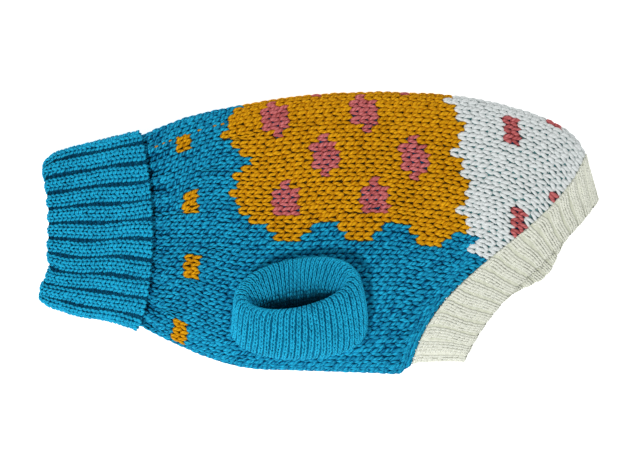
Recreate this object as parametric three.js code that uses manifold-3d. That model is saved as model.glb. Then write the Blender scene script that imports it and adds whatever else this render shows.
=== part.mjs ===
// A knitted dog sweater, size M, laid flat on its side with the neck at -X and the back at +Y.
// The cloth is a wall a few millimetres thick that runs round the garment. Every stretch of it is
// lofted through flattened rings, and each ring is worked out from one row of a table.
import * as THREE from 'three';
import { mergeVertices } from 'three/addons/utils/BufferGeometryUtils.js';
import Module from 'manifold-3d';

// Cloth, in millimetres
const BODY_WALL = 3.0;
const COLLAR_LAYER = 3.0;
const COLLAR_SLIT = 0.5;
const COLLAR_CLEARANCE = 0.8;
const HEM_WALL = 3.0;
const UPPER_CUFF_WALL = 3.0;
const LOWER_CUFF_WALL = 2.2;
const SEAM_GAP = 0.5;

// Shape of a flattened ring: a rounded near wall over a far wall that lies on the surface
const NEAR_ROUNDNESS = 2.4;
const FAR_ROUNDNESS = 4.5;
// The cloth sinks this far, so that the underside is flat where it rests
const SETTLE = 0.15;

// Points round a ring, and rings along each piece
const NEAR_POINTS = 21;
const FAR_POINTS = 19;
const BODY_RINGS = 24;
const HEM_RINGS = 6;
const COLLAR_RINGS = 6;
const CUFF_POINTS = 32;
const FINE_STEPS = 240;

// Columns of a section: where its back fold and belly fold lie, how far it bulges towards the tail
// in one arc (bow) and in an S (sway), how far the far wall alone flares out behind, and the height
// of the underside, of the folds and of the crown.
const COLLAR_SECTIONS = [
  { backX: -184.9, backY: 51.0, bellyX: -187.0, bellyY: -46.0,
    bow: 7.0, sway: 0, flare: 0, floor: 0, fold: 10.5, crown: 22.5 },
  { backX: -160.7, backY: 59.4, bellyX: -162.7, bellyY: -54.5,
    bow: 5.5, sway: 0, flare: 0, floor: 0, fold: 10.5, crown: 24.5 },
  { backX: -137.4, backY: 65.1, bellyX: -138.8, bellyY: -59.3,
    bow: 6.5, sway: 0, flare: 0, floor: 0, fold: 11.0, crown: 26.0 },
  { backX: -116.9, backY: 70.2, bellyX: -118.2, bellyY: -65.6,
    bow: 9.0, sway: -1.5, flare: 0, floor: 0, fold: 11.0, crown: 27.0 },
];
const COLLAR_LENGTH = 68;
const NECK_SEAM_BACK = 6;
const NECK_SEAM_PLACE = (COLLAR_SECTIONS.length - 1) * (1 - NECK_SEAM_BACK / COLLAR_LENGTH);

const BODY_SECTIONS = [
  { backX: -109.6, backY: 69.0, bellyX: -110.2, bellyY: -65.3,
    bow: 8.6, sway: -1.0, flare: 0, floor: 0.6, fold: 10.8, crown: 24.6 },
  { backX: -84.3, backY: 78.4, bellyX: -91.0, bellyY: -74.6,
    bow: 7.0, sway: 0, flare: 0, floor: 0, fold: 10.5, crown: 28.0 },
  { backX: -51.1, backY: 85.7, bellyX: -67.7, bellyY: -83.8,
    bow: 4.0, sway: 0, flare: 0, floor: 0, fold: 10.5, crown: 31.0 },
  { backX: -11.3, backY: 92.0, bellyX: -43.2, bellyY: -89.4,
    bow: 2.0, sway: 0, flare: 0, floor: 0, fold: 10.5, crown: 33.0 },
  { backX: 28.6, backY: 94.4, bellyX: -11.3, bellyY: -90.8,
    bow: 0, sway: 0, flare: 0, floor: 0, fold: 10.5, crown: 34.0 },
  { backX: 68.4, backY: 93.8, bellyX: 18.6, bellyY: -91.8,
    bow: -1.0, sway: 2.0, flare: 0, floor: 0, fold: 10.5, crown: 34.0 },
  { backX: 108.2, backY: 89.8, bellyX: 38.5, bellyY: -92.4,
    bow: -2.0, sway: 5.5, flare: 0.6, floor: 0, fold: 10.5, crown: 33.0 },
  { backX: 148.1, backY: 78.8, bellyX: 51.8, bellyY: -93.2,
    bow: -3.3, sway: 11.5, flare: 1.8, floor: 0, fold: 10.0, crown: 31.0 },
  { backX: 169.3, backY: 66.8, bellyX: 57.1, bellyY: -91.2,
    bow: -4.0, sway: 16.0, flare: 3.0, floor: 0, fold: 9.5, crown: 28.0 },
  { backX: 179.0, backY: 54.0, bellyX: 63.0, bellyY: -86.8,
    bow: -4.5, sway: 18.8, flare: 4.0, floor: 0, fold: 9.0, crown: 25.0 },
];

// The rib at the rear opening starts where the body panel ends
const HEM_SECTIONS = [
  { backX: 180.4, backY: 50.6, bellyX: 68.5, bellyY: -86.0,
    bow: -4.5, sway: 17.5, flare: 4.6, floor: 0, fold: 8.5, crown: 23.5 },
  { backX: 183.2, backY: 39.0, bellyX: 80.3, bellyY: -85.4,
    bow: -4.3, sway: 12.5, flare: 6.8, floor: 0, fold: 8.0, crown: 20.5 },
  { backX: 187.2, backY: 24.5, bellyX: 96.8, bellyY: -85.4,
    bow: -4.1, sway: 7.6, flare: 9.0, floor: 0, fold: 7.5, crown: 18.0 },
];
const FLARE_MIDDLE = 0.13;
const FLARE_REACH = 0.27;

// The largest soft troughs of the near wall: middle, reach along and across, heading in degrees
const TROUGHS = [
  { x: -68, y: 8, along: 44, across: 15, heading: 18, depth: 3.2 },
  { x: -20, y: 26, along: 34, across: 12, heading: 8, depth: 1.6 },
  { x: 112, y: 40, along: 30, across: 14, heading: -14, depth: 2.2 },
  { x: 78, y: -34, along: 34, across: 10, heading: 48, depth: 2.0 },
  { x: -178, y: -22, along: 12, across: 5, heading: 38, depth: 2.4 },
];

// Leg openings, one in each wall at the same place, and the hollow of the far wall over the folded lower cuff
const ARMHOLE = { x: -12.4, y: -63.0, halfLength: 40.0, halfWidth: 13.5, sides: 28 };
const HOLLOW = { x: -11.5, y: -50, halfLength: 51, halfWidth: 35, ramp: 18, height: 9.9 };
const PUNCH_SPLIT = 20;

// Columns of a cuff: middle and half width of its ring, place and height of the ring's belly side and
// back side, how far the ring turns, and how closely it follows the body panel's face (cling, 1 at
// the seam). The first row is the seam, and its heights are the face's, roughly.
const UPPER_CUFF = [
  { x: -12.4, half: 44.4, bellyY: -80.6, bellyZ: 23.5, backY: -45.5, backZ: 31.6, turn: 0, cling: 1 },
  { x: -12.2, half: 45.0, bellyY: -83.0, bellyZ: 28.5, backY: -43.5, backZ: 33.6, turn: 0.5, cling: 1 },
  { x: -11.6, half: 45.0, bellyY: -81.0, bellyZ: 34.0, backY: -39.5, backZ: 36.0, turn: 2, cling: 0.8 },
  { x: -11.4, half: 44.4, bellyY: -73.6, bellyZ: 40.5, backY: -33.0, backZ: 38.0, turn: 4, cling: 0.5 },
  { x: -11.8, half: 43.0, bellyY: -63.6, bellyZ: 46.5, backY: -25.5, backZ: 39.5, turn: 6, cling: 0.2 },
  { x: -12.6, half: 41.4, bellyY: -54.0, bellyZ: 50.5, backY: -19.0, backZ: 41.0, turn: 8, cling: 0 },
  { x: -13.0, half: 40.4, bellyY: -48.6, bellyZ: 51.0, backY: -16.0, backZ: 43.0, turn: 9, cling: 0 },
];
const LOWER_CUFF = [
  { x: -12.4, half: 42.6, bellyY: -79.0, bellyZ: 9.4, backY: -48.0, backZ: 9.4, turn: 0, cling: 1 },
  { x: -12.0, half: 42.8, bellyY: -76.6, bellyZ: 4.8, backY: -44.5, backZ: 9.2, turn: 0, cling: 0 },
  { x: -11.4, half: 43.0, bellyY: -70.4, bellyZ: 1.4, backY: -40.5, backZ: 9.2, turn: 0, cling: 0 },
  { x: -10.6, half: 43.0, bellyY: -59.0, bellyZ: 0, backY: -35.5, backZ: 9.2, turn: 0, cling: 0 },
  { x: -10.6, half: 43.0, bellyY: -40.0, bellyZ: 0, backY: -28.5, backZ: 9.2, turn: 0, cling: 0 },
  { x: -10.6, half: 43.0, bellyY: -21.0, bellyZ: 0, backY: -20.0, backZ: 9.2, turn: 0, cling: 0 },
];
const UPPER_CUFF_ROUNDNESS = 2.1;
const LOWER_CUFF_ROUNDNESS = 3.2;

const YARN = {
  blue: new THREE.Color(0.075, 0.47, 0.62),
  ochre: new THREE.Color(0.76, 0.52, 0.03),
  cream: new THREE.Color(0.86, 0.87, 0.79),
};
const YARN_ROUGHNESS = 0.85;

const wasm = await Module();
wasm.setup();

// Smooth value between four neighbouring rows
function between(before, from, to, after, t) {
  const slopeFrom = (to - before) / 2;
  const slopeTo = (after - from) / 2;
  const t2 = t * t;
  const t3 = t2 * t;
  return (2 * t3 - 3 * t2 + 1) * from + (t3 - 2 * t2 + t) * slopeFrom
    + (3 * t2 - 2 * t3) * to + (t3 - t2) * slopeTo;
}

// The section at any place along a table, with every column smoothed in the same way
function sectionAt(rows, place) {
  const last = rows.length - 1;
  const index = Math.min(Math.floor(place), last - 1);
  const row = (i) => rows[Math.min(Math.max(i, 0), last)];
  const section = {};
  for (const column of Object.keys(rows[0])) {
    section[column] = between(
      row(index - 1)[column], row(index)[column], row(index + 1)[column], row(index + 2)[column],
      place - index,
    );
  }
  section.floor = Math.max(section.floor, 0);
  return section;
}

// The rows of a table with one more column, half the distance between the folds. A section that is
// moved into the cloth keeps it, so that the outer and the inner ring bulge on one curve.
function withHalfSpan(rows) {
  return rows.map((row) => ({
    ...row,
    halfSpan: Math.hypot(row.backX - row.bellyX, row.backY - row.bellyY) / 2,
  }));
}

// The same section, moved into the cloth by a depth
function inset(section, depth) {
  const across = new THREE.Vector2(section.backX - section.bellyX, section.backY - section.bellyY);
  across.setLength(depth);
  return {
    ...section,
    backX: section.backX - across.x,
    backY: section.backY - across.y,
    bellyX: section.bellyX + across.x,
    bellyY: section.bellyY + across.y,
    floor: section.floor + depth,
    crown: section.crown - depth,
  };
}

// The same section, moved towards the tail
function advance(section, distance) {
  const across = new THREE.Vector2(section.backX - section.bellyX, section.backY - section.bellyY);
  across.setLength(distance);
  return {
    ...section,
    backX: section.backX + across.y,
    backY: section.backY - across.x,
    bellyX: section.bellyX + across.y,
    bellyY: section.bellyY - across.x,
  };
}

function troughDepth(x, y) {
  let depth = 0;
  for (const trough of TROUGHS) {
    const heading = THREE.MathUtils.degToRad(trough.heading);
    const dx = x - trough.x;
    const dy = y - trough.y;
    const along = (dx * Math.cos(heading) + dy * Math.sin(heading)) / trough.along;
    const across = (dy * Math.cos(heading) - dx * Math.sin(heading)) / trough.across;
    depth += trough.depth * Math.exp(-along * along - across * across);
  }
  return depth;
}

function hollowHeight(x, y) {
  const reachX = Math.max(Math.abs(x - HOLLOW.x) - HOLLOW.halfLength, 0);
  const reachY = Math.max(Math.abs(y - HOLLOW.y) - HOLLOW.halfWidth, 0);
  const away = Math.min(Math.hypot(reachX, reachY) / HOLLOW.ramp, 1);
  return HOLLOW.height * (1 - THREE.MathUtils.smoothstep(away, 0, 1));
}

// One wall of a ring from the belly fold to the back fold, at equal steps along the cloth
function wallPoints(section, near, count) {
  const roundness = near ? NEAR_ROUNDNESS : FAR_ROUNDNESS;
  const reach = near ? section.crown - section.fold : section.floor - section.fold;
  const flare = near ? 0 : section.flare;
  const belly = new THREE.Vector2(section.bellyX, section.bellyY);
  const back = new THREE.Vector2(section.backX, section.backY);
  const half = belly.distanceTo(back) / 2;
  const dense = [];
  for (let i = 0; i <= FINE_STEPS; i += 1) {
    const angle = Math.PI * (i / FINE_STEPS - 0.5);
    const v = Math.sign(angle) * Math.abs(Math.sin(angle)) ** (2 / roundness);
    const rise = Math.abs(Math.cos(angle)) ** (2 / roundness);
    dense.push({ v, rise, run: 0 });
  }
  for (let i = 1; i <= FINE_STEPS; i += 1) {
    const step = Math.hypot(
      (dense[i].v - dense[i - 1].v) * half,
      (dense[i].rise - dense[i - 1].rise) * reach,
    );
    dense[i].run = dense[i - 1].run + step;
  }
  const towardsTail = new THREE.Vector2(back.y - belly.y, belly.x - back.x).normalize();
  const points = [];
  let at = 1;
  for (let k = 0; k <= count; k += 1) {
    const run = dense[FINE_STEPS].run * (k / count);
    while (at < FINE_STEPS && dense[at].run < run) at += 1;
    const t = (run - dense[at - 1].run) / (dense[at].run - dense[at - 1].run);
    const v = THREE.MathUtils.lerp(dense[at - 1].v, dense[at].v, t);
    const rise = THREE.MathUtils.lerp(dense[at - 1].rise, dense[at].rise, t);
    const plan = belly.clone().lerp(back, (v + 1) / 2);
    const w = v * (half / section.halfSpan);
    const bulge = section.bow + section.sway * w
      + flare * Math.exp(-(((w - FLARE_MIDDLE) / FLARE_REACH) ** 2));
    plan.addScaledVector(towardsTail, bulge * (1 - w * w));
    let z = section.fold + reach * rise;
    if (near) {
      z -= rise * troughDepth(plan.x, plan.y);
    } else {
      z = Math.max(z - SETTLE, section.floor) + rise * hollowHeight(plan.x, plan.y);
    }
    points.push(new THREE.Vector3(plan.x, plan.y, z));
  }
  return points;
}

// A whole ring: up over the near wall and back under the far wall
function ring(section) {
  const near = wallPoints(section, true, NEAR_POINTS);
  const far = wallPoints(section, false, FAR_POINTS).reverse();
  return [...near.slice(0, -1), ...far.slice(0, -1)];
}

// Six times the volume inside a closed mesh, below zero where its faces point inwards
function signedVolume(points, index) {
  let sum = 0;
  for (let i = 0; i < index.length; i += 3) {
    const [a, b, c] = [points[index[i]], points[index[i + 1]], points[index[i + 2]]];
    sum += a.dot(b.clone().cross(c));
  }
  return sum;
}

// A closed solid from rings that follow one another round its wall, the last one meeting the first
function loopSolid(rings) {
  const around = rings[0].length;
  const points = rings.flat();
  const index = [];
  for (let i = 0; i < rings.length; i += 1) {
    const next = (i + 1) % rings.length;
    for (let k = 0; k < around; k += 1) {
      const a = i * around + k;
      const b = i * around + (k + 1) % around;
      const c = next * around + (k + 1) % around;
      const d = next * around + k;
      index.push(a, b, c, a, c, d);
    }
  }
  if (signedVolume(points, index) < 0) {
    index.reverse();
  }
  const geometry = new THREE.BufferGeometry();
  const positions = points.flatMap((point) => [point.x, point.y, point.z]);
  geometry.setAttribute('position', new THREE.Float32BufferAttribute(positions, 3));
  geometry.setIndex(index);
  return geometry;
}

function spread(count, from, to) {
  return Array.from({ length: count + 1 }, (unused, i) => from + (to - from) * (i / count));
}

// A tube of cloth: its outer rings from the first end to the last, then its inner rings back
function tubeOfCloth(sections, wall) {
  const outer = sections.map((section) => ring(section));
  const inner = sections.map((section) => ring(inset(section, wall)));
  return loopSolid([...outer, ...inner.reverse()]);
}

// The folded collar is one wall in the shape of a U: the outer layer, the fold and the inner layer
function collar() {
  const rows = withHalfSpan(COLLAR_SECTIONS);
  const edgePlace = rows.length - 1;
  const double = 2 * COLLAR_LAYER + COLLAR_SLIT;
  const foldPlace = edgePlace * (double / 2 / COLLAR_LENGTH);
  const layer = (depth, from, to) => spread(COLLAR_RINGS, from, to)
    .map((place) => ring(inset(sectionAt(rows, place), depth)));
  const roll = (turn) => ring(inset(
    sectionAt(rows, foldPlace * (1 - Math.sin(turn))),
    (double / 2) * (1 - Math.cos(turn)),
  ));
  return loopSolid([
    ...layer(0, edgePlace, foldPlace),
    roll(Math.PI / 4),
    roll(Math.PI / 2),
    roll(Math.PI * 3 / 4),
    ...layer(double, foldPlace, NECK_SEAM_PLACE),
    ...layer(COLLAR_LAYER + COLLAR_SLIT, NECK_SEAM_PLACE, foldPlace),
    ...layer(COLLAR_LAYER, foldPlace, edgePlace),
  ]);
}

// The body panel starts under the collar's free edge, in line with the collar's inner layer
function bodyRows() {
  const collarRows = withHalfSpan(COLLAR_SECTIONS);
  const seam = sectionAt(collarRows, NECK_SEAM_PLACE);
  const edge = collarRows[collarRows.length - 1];
  const underLayer = COLLAR_LAYER + COLLAR_SLIT;
  return [
    advance(inset(seam, underLayer), SEAM_GAP),
    inset(edge, underLayer + COLLAR_CLEARANCE),
    ...withHalfSpan(BODY_SECTIONS),
  ];
}

function hemRows() {
  const bodyEnd = BODY_SECTIONS[BODY_SECTIONS.length - 1];
  return withHalfSpan([advance(bodyEnd, SEAM_GAP), ...HEM_SECTIONS]);
}

function sectionsOf(rows, count) {
  return spread(count, 0, rows.length - 1).map((place) => sectionAt(rows, place));
}

// Height of a piece's outer face above or below a point of the plan
function faceHeight(geometry, x, y, fromAbove) {
  const probe = new THREE.Mesh(geometry, new THREE.MeshBasicMaterial({ side: THREE.DoubleSide }));
  const start = new THREE.Vector3(x, y, fromAbove ? 100 : -100);
  const down = new THREE.Vector3(0, 0, fromAbove ? -1 : 1);
  const hit = new THREE.Raycaster(start, down).intersectObject(probe)[0];
  return hit.point.z;
}

// The two sides of a cuff as paths in its side view, moved into the cloth by a depth
function sidePath(rows, side, depth) {
  const pathOf = (name) => rows.map((row) => new THREE.Vector2(row[`${name}Y`], row[`${name}Z`]));
  const path = pathOf(side);
  const otherPath = pathOf(side === 'belly' ? 'back' : 'belly');
  return path.map((point, i) => {
    const inward = otherPath[i].clone().sub(point);
    if (i > 0) {
      const along = path[Math.min(i + 1, path.length - 1)].clone().sub(path[i - 1]);
      const square = new THREE.Vector2(-along.y, along.x);
      inward.copy(square.multiplyScalar(Math.sign(square.dot(inward))));
    }
    return point.clone().add(inward.setLength(depth));
  });
}

// One ring of a cuff, an oval between its belly side and its back side
function cuffRing(row, seam, belly, back, half, roundness, faceAt) {
  const turn = THREE.MathUtils.degToRad(row.turn);
  const middle = belly.clone().add(back).multiplyScalar(0.5);
  const points = [];
  for (let k = 0; k < CUFF_POINTS; k += 1) {
    const angle = 2 * Math.PI * (k / CUFF_POINTS);
    const along = half * Math.sign(Math.cos(angle)) * Math.abs(Math.cos(angle)) ** (2 / roundness);
    const across = Math.sign(Math.sin(angle)) * Math.abs(Math.sin(angle)) ** (2 / roundness);
    const reach = back.clone().sub(belly).multiplyScalar(0.5 * across);
    const x = row.x + along * Math.cos(turn) - reach.x * Math.sin(turn);
    const y = middle.x + reach.x * Math.cos(turn) + along * Math.sin(turn);
    let z = middle.y + reach.y;
    if (row.cling > 0) {
      const share = (y - seam.bellyY) / (seam.backY - seam.bellyY);
      const roughFace = seam.bellyZ + share * (seam.backZ - seam.bellyZ);
      z += row.cling * (faceAt(x, y) - roughFace);
    }
    points.push(new THREE.Vector3(x, y, z));
  }
  return points;
}

function cuff(rows, wall, roundness, faceAt) {
  const ringsAt = (depth) => {
    const belly = sidePath(rows, 'belly', depth);
    const back = sidePath(rows, 'back', depth);
    return rows.map((row, i) => (
      cuffRing(row, rows[0], belly[i], back[i], row.half - depth, roundness, faceAt)
    ));
  };
  return loopSolid([...ringsAt(0), ...ringsAt(wall).reverse()]);
}

function toManifold(geometry) {
  const bare = geometry.clone();
  bare.deleteAttribute('normal');
  bare.deleteAttribute('uv');
  const merged = mergeVertices(bare);
  return new wasm.Manifold(new wasm.Mesh({
    numProp: 3,
    vertProperties: new Float32Array(merged.attributes.position.array),
    triVerts: new Uint32Array(merged.index.array),
  }));
}

function fromManifold(solid) {
  const mesh = solid.getMesh();
  const geometry = new THREE.BufferGeometry();
  geometry.setAttribute('position', new THREE.Float32BufferAttribute(mesh.vertProperties, 3));
  geometry.setIndex([...mesh.triVerts]);
  return geometry;
}

// An upright oval punch through one wall
function armholePunch(from, to) {
  const outline = new THREE.Shape();
  outline.absellipse(ARMHOLE.x, ARMHOLE.y, ARMHOLE.halfLength, ARMHOLE.halfWidth, 0, 2 * Math.PI);
  const punch = new THREE.ExtrudeGeometry(outline, {
    depth: to - from,
    bevelEnabled: false,
    curveSegments: ARMHOLE.sides,
  });
  punch.translate(0, 0, from);
  return toManifold(punch);
}

function named(name, geometry, color) {
  geometry.computeVertexNormals();
  const mesh = new THREE.Mesh(geometry, new THREE.MeshStandardMaterial({
    color,
    roughness: YARN_ROUGHNESS,
    metalness: 0,
  }));
  mesh.name = name;
  return mesh;
}

const bodyWhole = tubeOfCloth(sectionsOf(bodyRows(), BODY_RINGS), BODY_WALL);
const bodyCut = fromManifold(
  toManifold(bodyWhole)
    .subtract(armholePunch(PUNCH_SPLIT, 3 * PUNCH_SPLIT))
    .subtract(armholePunch(-PUNCH_SPLIT, PUNCH_SPLIT)),
);
const hem = tubeOfCloth(sectionsOf(hemRows(), HEM_RINGS), HEM_WALL);
const aboveNearWall = (x, y) => faceHeight(bodyWhole, x, y, true) + SEAM_GAP;
const belowFarWall = (x, y) => faceHeight(bodyWhole, x, y, false) - SEAM_GAP;
const upperCuff = cuff(UPPER_CUFF, UPPER_CUFF_WALL, UPPER_CUFF_ROUNDNESS, aboveNearWall);
const lowerCuff = cuff(LOWER_CUFF, LOWER_CUFF_WALL, LOWER_CUFF_ROUNDNESS, belowFarWall);

const sweater = new THREE.Group();
sweater.add(
  named('neck_collar', collar(), YARN.blue),
  named('body_panel', bodyCut, YARN.ochre),
  named('hem_rib', hem, YARN.cream),
  named('leg_cuff_upper', upperCuff, YARN.blue),
  named('leg_cuff_lower', lowerCuff, YARN.blue),
);

const bounds = new THREE.Box3().setFromObject(sweater);
const center = bounds.getCenter(new THREE.Vector3());
sweater.position.set(-center.x, -center.y, -bounds.min.z);

export default sweater;
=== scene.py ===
import math

import bpy
import numpy as np
from mathutils.bvhtree import BVHTree
from mathutils.kdtree import KDTree
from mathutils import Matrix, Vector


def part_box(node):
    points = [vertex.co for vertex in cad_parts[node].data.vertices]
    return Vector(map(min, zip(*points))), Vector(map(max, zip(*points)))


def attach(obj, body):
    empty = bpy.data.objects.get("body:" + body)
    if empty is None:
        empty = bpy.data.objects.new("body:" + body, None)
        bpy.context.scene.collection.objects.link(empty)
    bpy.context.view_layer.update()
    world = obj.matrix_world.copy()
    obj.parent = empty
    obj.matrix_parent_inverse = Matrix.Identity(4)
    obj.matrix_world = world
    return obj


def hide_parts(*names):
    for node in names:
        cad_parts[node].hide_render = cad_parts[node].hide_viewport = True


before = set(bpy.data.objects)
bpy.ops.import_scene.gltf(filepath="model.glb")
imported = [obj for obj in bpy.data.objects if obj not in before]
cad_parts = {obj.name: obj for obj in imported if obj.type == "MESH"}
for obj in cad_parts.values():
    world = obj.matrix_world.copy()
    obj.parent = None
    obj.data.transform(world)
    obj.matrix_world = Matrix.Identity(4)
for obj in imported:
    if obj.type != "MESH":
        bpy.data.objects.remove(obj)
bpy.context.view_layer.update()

MM = 0.001
SEED = 7
TINY = 1e-9
# A face is read up to just short of its last row
END_MARGIN = 1.001

# Cloth of the solids
COLLAR_LAYER = 3.0
COLLAR_SLIT = 0.5
COLLAR_CLEARANCE = 0.8
COLLAR_LENGTH = 68.0
NECK_SEAM_BACK = 6.0
SEAM_GAP = 0.5
NEAR_ROUNDNESS = 2.4
FAR_ROUNDNESS = 4.5
SETTLE = 0.15
FINE_STEPS = 160
NEAR_COLUMNS = 220
FAR_COLUMNS = 220

# A section: its back fold and belly fold, how far it bulges towards the tail in one arc (bow) and
# in an S (sway), how far the far wall alone flares out, and the heights of underside, folds, crown
COLUMNS = (
    "back_x", "back_y", "belly_x", "belly_y", "bow", "sway", "flare", "floor", "fold", "crown",
)
COLLAR_SECTIONS = [
    (-184.9, 51.0, -187.0, -46.0, 7.0, 0, 0, 0, 10.5, 22.5),
    (-160.7, 59.4, -162.7, -54.5, 5.5, 0, 0, 0, 10.5, 24.5),
    (-137.4, 65.1, -138.8, -59.3, 6.5, 0, 0, 0, 11.0, 26.0),
    (-116.9, 70.2, -118.2, -65.6, 9.0, -1.5, 0, 0, 11.0, 27.0),
]
COLLAR_EDGE = len(COLLAR_SECTIONS) - 1
BODY_SECTIONS = [
    (-109.6, 69.0, -110.2, -65.3, 8.6, -1.0, 0, 0.6, 10.8, 24.6),
    (-84.3, 78.4, -91.0, -74.6, 7.0, 0, 0, 0, 10.5, 28.0),
    (-51.1, 85.7, -67.7, -83.8, 4.0, 0, 0, 0, 10.5, 31.0),
    (-11.3, 92.0, -43.2, -89.4, 2.0, 0, 0, 0, 10.5, 33.0),
    (28.6, 94.4, -11.3, -90.8, 0, 0, 0, 0, 10.5, 34.0),
    (68.4, 93.8, 18.6, -91.8, -1.0, 2.0, 0, 0, 10.5, 34.0),
    (108.2, 89.8, 38.5, -92.4, -2.0, 5.5, 0.6, 0, 10.5, 33.0),
    (148.1, 78.8, 51.8, -93.2, -3.3, 11.5, 1.8, 0, 10.0, 31.0),
    (169.3, 66.8, 57.1, -91.2, -4.0, 16.0, 3.0, 0, 9.5, 28.0),
    (179.0, 54.0, 63.0, -86.8, -4.5, 18.8, 4.0, 0, 9.0, 25.0),
]
HEM_SECTIONS = [
    (180.4, 50.6, 68.5, -86.0, -4.5, 17.5, 4.6, 0, 8.5, 23.5),
    (183.2, 39.0, 80.3, -85.4, -4.3, 12.5, 6.8, 0, 8.0, 20.5),
    (187.2, 24.5, 96.8, -85.4, -4.1, 7.6, 9.0, 0, 7.5, 18.0),
]
HEM_WALL = 3.0
FLARE_MIDDLE = 0.13
FLARE_REACH = 0.27

# Soft troughs of the near wall: middle, reach along and across, heading in degrees, depth
TROUGHS = [
    (-68, 8, 44, 15, 18, 3.2),
    (-20, 26, 34, 12, 8, 1.6),
    (112, 40, 30, 14, -14, 2.2),
    (78, -34, 34, 10, 48, 2.0),
    (-178, -22, 12, 5, 38, 2.4),
]
# Leg openings, and the hollow of the far wall over the folded lower cuff
ARMHOLE_X, ARMHOLE_Y, ARMHOLE_LENGTH, ARMHOLE_WIDTH = -12.4, -63.0, 40.0, 13.5
HOLLOW_X, HOLLOW_Y, HOLLOW_LENGTH, HOLLOW_WIDTH, HOLLOW_RAMP, HOLLOW_HEIGHT = -11.5, -50, 51, 35, 18, 9.9

# A cuff's rings from its seam, over the rim and back down the inside: middle and half width, place
# and height of belly side and back side, turn, and how closely the ring follows the body
CUFF_COLUMNS = ("x", "half", "belly_y", "belly_z", "back_y", "back_z", "turn", "cling")
UPPER_CUFF = [
    (-12.4, 44.4, -80.6, 23.5, -45.5, 31.6, 0, 1),
    (-12.2, 45.0, -83.0, 28.5, -43.5, 33.6, 0.5, 1),
    (-11.6, 45.2, -81.5, 34.5, -39.5, 36.0, 2, 0.8),
    (-11.4, 44.8, -74.6, 41.5, -33.0, 38.0, 4, 0.5),
    (-11.8, 43.8, -65.0, 47.0, -25.5, 39.5, 6, 0.2),
    (-12.6, 42.4, -56.4, 50.8, -19.0, 41.0, 8, 0),
    (-13.0, 40.4, -51.0, 52.4, -16.0, 43.5, 9.5, 0),
    (-13.0, 36.8, -47.8, 52.0, -16.6, 46.0, 11.5, 0),
    (-13.0, 33.2, -47.4, 49.0, -20.0, 46.0, 13, 0),
    (-13.2, 30.4, -50.0, 45.5, -26.0, 43.4, 13.5, 0),
    (-13.6, 28.0, -53.0, 42.5, -33.0, 41.4, 13, 0),
    (-14.0, 26.5, -56.5, 39.5, -40.0, 39.0, 12, 0),
    (-14.4, 26.0, -59.0, 36.0, -46.0, 36.0, 11, 0),
    (-14.4, 25.5, -61.0, 31.0, -50.5, 31.5, 10, 0),
]
LOWER_CUFF = [
    (-12.4, 42.6, -79.0, 9.4, -48.0, 9.4, 0, 1),
    (-12.0, 42.8, -76.6, 4.8, -44.5, 9.2, 0, 0),
    (-11.4, 43.0, -70.4, 1.4, -40.5, 9.2, 0, 0),
    (-10.6, 43.0, -59.0, 0, -35.5, 9.2, 0, 0),
    (-10.6, 43.0, -40.0, 0, -28.5, 9.2, 0, 0),
    (-10.6, 43.0, -22.0, 0.2, -21.0, 9.2, 0, 0),
    (-10.6, 41.8, -19.6, 1.2, -18.8, 8.2, 0, 0),
    (-10.6, 40.6, -22.0, 2.4, -21.0, 6.8, 0, 0),
    (-10.6, 40.6, -40.0, 2.4, -29.5, 6.8, 0, 0),
    (-10.6, 40.6, -59.0, 2.6, -37.5, 6.8, 0, 0),
    (-10.6, 40.0, -68.0, 4.2, -44.0, 7.2, 0, 0),
]
# How far a cuff's seam is let into the cloth it is linked to
CUFF_SEAT = 0.9
CUFF_WALLS = {"leg_cuff_upper": 3.0, "leg_cuff_lower": 2.2}
CUFF_ROUNDNESS = {"leg_cuff_upper": 2.1, "leg_cuff_lower": 3.2}
CUFF_FINE_STEPS = 360
LEAST_CLING = 0.01
PLAN_STEP = 4
PLAN_REACH = 100.0

# The grids of the faces
BODY_ROWS = 340
COLLAR_ROWS = 120
HEM_ROWS = 90
CUFF_ROWS = 90
CUFF_COLUMNS_ROUND = 260
COLLAR_ROLL_STEPS = 14
HEM_ROLL_STEPS = 9
BODY_START = 0.35
HEM_ROLL = 1.5

# Shares of the rows between which the inside of hem and cuffs grows darker with painted shade, and how
# much
HEM_DEEP = (0.60, 0.80, 1.0)
CUFF_DEEP = (0.69, 0.90, 1.7)
# The shade on the hem's far wall under the edge of its near wall, past this share of the rows
CREASE_REACH = 3.4
CREASE_SHADE = 0.7
CREASE_START = 0.55

# Worn corners and a dent of the collar: middle, reach, and how far the cloth is drawn along X and Y
COLLAR_CORNERS = [
    (-186.0, 52.5, 11.0, 3.6, -2.2),
    (-187.5, -46.5, 9.0, 2.0, 1.4),
    (-179.0, -23.0, 11.0, 3.4, 0.0),
    (-116.3, 70.6, 7.0, -2.2, -0.5),
    (-118.0, -66.0, 7.0, -2.4, 1.0),
]

# Gathers that run out of the neck seam, how they drift round it and how their depth changes
GATHERS = 22
GATHER_DEPTH = 2.7
GATHER_REACH = 15.0
GATHER_SHADE = 0.3
GATHER_DRIFT, GATHER_DRIFT_WAVES = 0.008, 5
GATHER_CHANGE, GATHER_CHANGE_WAVES = 0.4, 3

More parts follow.
